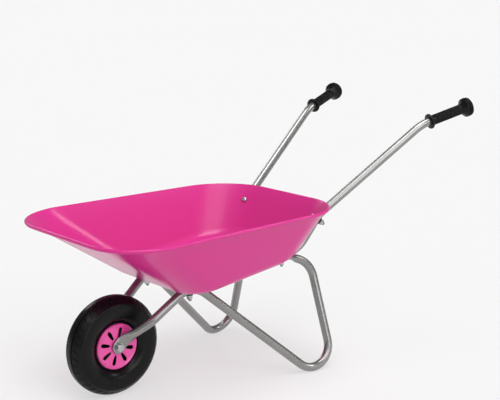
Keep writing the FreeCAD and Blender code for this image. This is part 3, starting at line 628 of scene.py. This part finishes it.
def makeTyre():
    shape = tyreShape
    half = shape["side"] + shape["tread"]
    otherHalf = tuple((radius, -reach) for radius, reach in reversed(half))
    outline = half + ((shape["crown"], 0),) + otherHalf + ((shape["bore"], 0),)
    along = Vector((0, 1, 0))
    bm = bmesh.new()
    spinProfile(bm, outline, wheelAxle, along, shape["steps"], closed=True)
    bmesh.ops.remove_doubles(bm, verts=bm.verts, dist=1e-6)
    bmesh.ops.recalc_face_normals(bm, faces=bm.faces)
    cutFaces = []
    for face in bm.faces:
        here = face.calc_center_median() - wheelAxle
        column = int((math.atan2(here.z, here.x) / math.tau + 0.5) * shape["steps"])
        radius = math.hypot(here.x, here.z)
        onShoulder = radius > shape["cutFrom"] and abs(here.y) > shape["cutInner"]
        offset = 0 if here.y > 0 else shape["cutEvery"] // 2
        if onShoulder and column % shape["cutEvery"] == offset:
            cutFaces.append(face)
    bmesh.ops.inset_region(bm, faces=cutFaces, thickness=shape["cutInset"],
                           depth=-shape["cutDepth"], use_even_offset=True)
    for vert in bm.verts:
        away = vert.co - wheelAxle
        past = abs(away.y) - shape["slantInner"]
        if math.hypot(away.x, away.z) > shape["slantFrom"] and past > 0:
            lean = math.radians(shape["slant"]) * past / shape["slantRun"]
            vert.co = wheelAxle + Matrix.Rotation(lean, 3, along) @ away
    piece = makePiece("wheelTyre", bm, tyreRubber, "wheel", ("tyre",), sharp=38)
    soften = piece.modifiers.new("softEdges", "BEVEL")
    soften.width = shape["edgeRound"]
    soften.segments = 2
    soften.angle_limit = math.radians(30)
    soften.harden_normals = True


coverShape = {
    # (radius, height over the cover's inner face)
    "rings": ((0.0093, 0.0020), (0.0122, 0.0023), (0.0158, 0.0023), (0.0200, 0.0022),
              (0.0245, 0.0021), (0.0290, 0.0021), (0.0335, 0.0020), (0.0362, 0.0021),
              (0.0379, 0.0034), (0.0397, 0.0032), (0.0411, 0.0020), (0.0416, 0.0004),
              (0.0416, -0.0008)),
    "inner": 0.0140,
    "slots": 8,
    "columns": 6,  # in each slot's share of the circle
    "turn": 14.0,  # degrees, as the CAD cover's slots are turned
    # a slot's sides and ends, by the number of the ring that is moved to them
    "slotSides": {2: (0.0166, 0.00165), 3: (0.0200, 0.0025), 4: (0.0245, 0.0030),
                  5: (0.0290, 0.0035), 6: (0.0328, 0.0031)},  # radius, half width
    "slotEnds": {2: 0.0155, 6: 0.0350},
    "wall": 0.0016,
    "smoothing": 3,
}


def makeHubCover(side):
    shape = coverShape
    steps = shape["slots"] * shape["columns"]
    along = Vector((0, sides[side], 0))
    first = Matrix.Rotation(-math.radians(shape["turn"]), 3, "Y") @ Vector((1, 0, 0))
    bm = bmesh.new()
    outline = [(radius, shape["inner"] + height) for radius, height in shape["rings"]]
    spinProfile(bm, outline, wheelAxle, along, steps, first=first)
    bmesh.ops.remove_doubles(bm, verts=bm.verts, dist=1e-6)
    ringRadii = [radius for radius, height in shape["rings"]]
    slotEnds = shape["slotEnds"]
    slotFrom, slotTo = (ringRadii[ring] for ring in slotEnds)
    holes = []
    for face in bm.faces:
        radius, turn = polarPlace(face.calc_center_median(), along, first)
        column = int(turn * steps) % shape["columns"]
        if slotFrom < radius < slotTo and column in (0, shape["columns"] - 1):
            holes.append(face)
    bmesh.ops.delete(bm, geom=holes, context="FACES")
    for vert in bm.verts:
        radius, turn = polarPlace(vert.co, along, first)
        ring = min(range(len(ringRadii)), key=lambda i: abs(ringRadii[i] - radius))
        step = round(turn * steps)
        nearest = round(step / shape["columns"]) * shape["columns"]
        middle = Matrix.Rotation(math.tau * nearest / steps, 3, along) @ first
        level = wheelAxle + along * (vert.co - wheelAxle).dot(along)
        if ring in slotEnds and step == nearest:
            vert.co = level + middle * slotEnds[ring]
        elif ring in shape["slotSides"] and abs(step - nearest) == 1:
            radius, width = shape["slotSides"][ring]
            vert.co = level + middle * radius + along.cross(middle) * (step - nearest) * width
    piece = makePiece(f"hubCover_{side}", bm, pinkPlastic, "wheel",
                      (f"hub_cover_{side}",), sharp=180)
    facing = sum((polygon.normal * polygon.area for polygon in piece.data.polygons), Vector())
    if facing.dot(along) < 0:
        piece.data.flip_normals()
    wall = piece.modifiers.new("plasticWall", "SOLIDIFY")
    wall.thickness = shape["wall"]
    wall.offset = -1
    smooth = piece.modifiers.new("roundEdges", "SUBSURF")
    smooth.levels = shape["smoothing"]
    smooth.render_levels = shape["smoothing"]


def polarPlace(point, along, first, centre=wheelAxle):
    # distance from an axis, and the part of a whole turn past the first direction
    away = point - centre
    flat = away - along * away.dot(along)
    turn = math.atan2(flat.dot(along.cross(first)), flat.dot(first)) % math.tau
    return flat.length, turn / math.tau


gripShape = {
    # the left grip's axis, ahead of the axle: the end of the tube's bend, and the far end
    "top": (-0.6167, 0.16044, 0.44263),
    "end": (-0.7063, 0.18374, 0.46803),
    "start": 0.020,
    # (radius, distance along the grip)
    "outline": ((0, 0.0880), (0.0081, 0.0880), (0.0081, -0.0030), (0.0134, -0.0030),
                (0.0146, -0.0025), (0.0150, -0.0012), (0.0149, 0.0002), (0.0141, 0.0012),
                (0.0120, 0.0017), (0.0106, 0.0026), (0.0100, 0.0040), (0.0094, 0.0052),
                (0.0094, 0.0150), (0.0094, 0.0250), (0.0094, 0.0350), (0.0094, 0.0450),
                (0.0094, 0.0550), (0.0094, 0.0650), (0.0094, 0.0700), (0.0099, 0.0712),
                (0.0108, 0.0730), (0.0127, 0.0756), (0.0150, 0.0784), (0.0166, 0.0802),
                (0.0180, 0.0810), (0.0186, 0.0817), (0.0187, 0.0828), (0.0182, 0.0836),
                (0.0164, 0.0840), (0.0162, 0.0847), (0.0164, 0.0854), (0.0185, 0.0858),
                (0.0190, 0.0866), (0.0190, 0.0876), (0.0184, 0.0884), (0.0164, 0.0888),
                (0.0162, 0.0895), (0.0164, 0.0902), (0.0178, 0.0906), (0.0182, 0.0913),
                (0.0178, 0.0922), (0.0168, 0.0930), (0.0150, 0.0933), (0.0146, 0.0938),
                (0.0144, 0.0946), (0.0130, 0.0954), (0.0106, 0.0961), (0.0062, 0.0967),
                (0, 0.0970)),
    "steps": 96,
    "ribFrom": 0.0052, "ribTo": 0.0700, "ribHeight": 0.0006, "ribInset": 0.00012,
    "sleeve": 0.0090,  # between the bore's radius and the sleeve's
    "edgeRound": 0.00012,
}


def makeGrip(side):
    shape = gripShape
    hand = Vector((1, sides[side], 1))
    top = Vector(shape["top"]) * hand
    along = (Vector(shape["end"]) * hand - top).normalized()
    foot = Vector((wheelAxle.x, 0, 0)) + top + along * shape["start"]
    bm = bmesh.new()
    spinProfile(bm, shape["outline"], foot, along, shape["steps"])
    bmesh.ops.remove_doubles(bm, verts=bm.verts, dist=1e-6)
    bmesh.ops.recalc_face_normals(bm, faces=bm.faces)
    across = along.orthogonal().normalized()
    ribs = []
    for face in bm.faces:
        middle = face.calc_center_median()
        reach = (middle - foot).dot(along)
        radius, turn = polarPlace(middle, along, across, foot)
        onSleeve = shape["ribFrom"] < reach < shape["ribTo"] and radius > shape["sleeve"]
        if onSleeve and int(turn * shape["steps"]) % 2 == 0:
            ribs.append(face)
    bmesh.ops.inset_individual(bm, faces=ribs, thickness=shape["ribInset"],
                               depth=shape["ribHeight"], use_even_offset=True)
    piece = makePiece(f"handGrip_{side}", bm, gripRubber, "frame",
                      (f"grip_{side}",), sharp=35)
    soften = piece.modifiers.new("softEdges", "BEVEL")
    soften.width = shape["edgeRound"]
    soften.segments = 2
    soften.angle_limit = math.radians(35)


boltShape = {
    # left side: a point on the sheet ahead of the axle, the shank's way, the head's seat over it
    "front": ((-0.11928, 0.06546, 0.18936), (-0.136, 0, -0.991), 0.0009),
    "rear": ((-0.3210, 0.08356, 0.21704), (-0.136, 0, -0.991), 0.0009),
    "wall": ((-0.38714, 0.10034, 0.28289), (-0.772, 0.252, -0.583), 0.00145),
    # head from its rim to the socket, (radius, height over its seat)
    "dome": ((0.0030, 0), (0.0050, 0), (0.0054, 0.0002), (0.0055, 0.0006), (0.0053, 0.0012),
             (0.0046, 0.0020), (0.0036, 0.0026), (0.0027, 0.0029)),
    "steps": 28,
    "socket": 0.0021,
    "socketDepth": 0.0017,
    "shank": 0.0030,
    "tipSlack": 0.0022,  # radius of the nut end, kept inside the CAD bolt's box
    "core": 0.00255,
    "pitch": 0.0010,
    "turns": 9,
    "tipTurns": 0.6,  # bare end past the thread, in turns
    "stepsPerTurn": 20,
    # the thread's section, (radius, distance along)
    "ridge": ((0.0024735, 0), (0.0030, 0.00042), (0.0030, 0.00052), (0.0024735, 0.00094)),
}


def makeBolt(where, side):
    shape = boltShape
    point, way, seat = shape[where]
    hand = Vector((1, sides[side], 1))
    way = (Vector(way) * hand).normalized()
    foot = Vector((wheelAxle.x, 0, 0)) + Vector(point) * hand - way * seat
    reach = boltReach(foot, way, *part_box(f"{where}_bolt_{side}"))
    crownHeight = shape["dome"][-1][1]
    bm = bmesh.new()
    spinProfile(bm, shape["dome"], foot, -way, shape["steps"])
    bmesh.ops.remove_doubles(bm, verts=bm.verts, dist=1e-6)
    openEdges = [edge for edge in bm.edges if len(edge.link_faces) == 1]
    crown = [edge for edge in openEdges if (foot - edge.verts[0].co).dot(way) > crownHeight / 2]
    base = [edge for edge in openEdges if edge not in crown]
    facing = (-way).to_track_quat("Z", "Y").to_matrix().to_4x4()
    made = bmesh.ops.create_circle(bm, segments=6, radius=shape["socket"], cap_ends=False,
                                   matrix=Matrix.Translation(foot - way * crownHeight) @ facing)
    hexEdges = edgesWithin(bm, made["verts"])
    bmesh.ops.bridge_loops(bm, edges=crown + hexEdges)
    bottom = extrudeEdges(bm, hexEdges)
    bmesh.ops.translate(bm, verts=bottom, vec=way * shape["socketDepth"])
    bmesh.ops.contextual_create(bm, geom=edgesWithin(bm, bottom))
    tip = extrudeEdges(bm, base)
    narrow = Vector((1, 1, 1)) * (shape["core"] / shape["shank"])
    bmesh.ops.scale(bm, verts=tip, vec=narrow, space=Matrix.Translation(-foot))
    bmesh.ops.translate(bm, verts=tip, vec=way * reach)
    bmesh.ops.contextual_create(bm, geom=edgesWithin(bm, tip))
    addThread(bm, foot, way, reach)
    makePiece(f"trayBolt_{where}_{side}", bm, zinc, "frame",
              (f"{where}_bolt_{side}",), sharp=28)


def edgesWithin(bm, verts):
    inside = set(verts)
    return [edge for edge in bm.edges if all(vert in inside for vert in edge.verts)]


def extrudeEdges(bm, edges):
    made = bmesh.ops.extrude_edge_only(bm, edges=edges)["geom"]
    return [item for item in made if isinstance(item, bmesh.types.BMVert)]


def boltReach(foot, way, low, high):
    # how far along its axis the bolt's box still holds it
    reaches = []
    for axis in range(3):
        if abs(way[axis]) > 0.5:
            edge = high[axis] if way[axis] > 0 else low[axis]
            slack = math.sqrt(max(0, 1 - way[axis] ** 2)) * boltShape["tipSlack"]
            reaches.append((edge - foot[axis]) / way[axis] - slack / abs(way[axis]))
    return min(reaches)


def addThread(bm, foot, way, reach):
    # a ridge wound round the shank's far end, closed at both of its ends
    shape = boltShape
    across = way.orthogonal().normalized()
    start = foot + way * (reach - shape["pitch"] * (shape["turns"] + shape["tipTurns"]))
    ridge = [bm.verts.new(start + across * radius + way * rise) for radius, rise in shape["ridge"]]
    bm.faces.new(ridge)
    edges = [bm.edges.get(pair) for pair in zip(ridge, ridge[1:] + ridge[:1])]
    wound = bmesh.ops.spin(bm, geom=ridge + edges, cent=foot, axis=way,
                           angle=math.tau * shape["turns"],
                           dvec=way * (shape["pitch"] / shape["stepsPerTurn"]),
                           steps=shape["stepsPerTurn"] * shape["turns"], use_duplicate=False)
    last = [item for item in wound["geom_last"] if isinstance(item, bmesh.types.BMEdge)]
    bmesh.ops.contextual_create(bm, geom=last)


makeCamera()
makeStudio()
print("camera and studio set")
finishNodes()
makeTray()
print("tray pan made")
makeTyre()
for side in sides:
    makeHubCover(side)
    makeGrip(side)
    for where in ("front", "rear", "wall"):
        makeBolt(where, side)
print("tyre, hub covers, grips and bolts made")
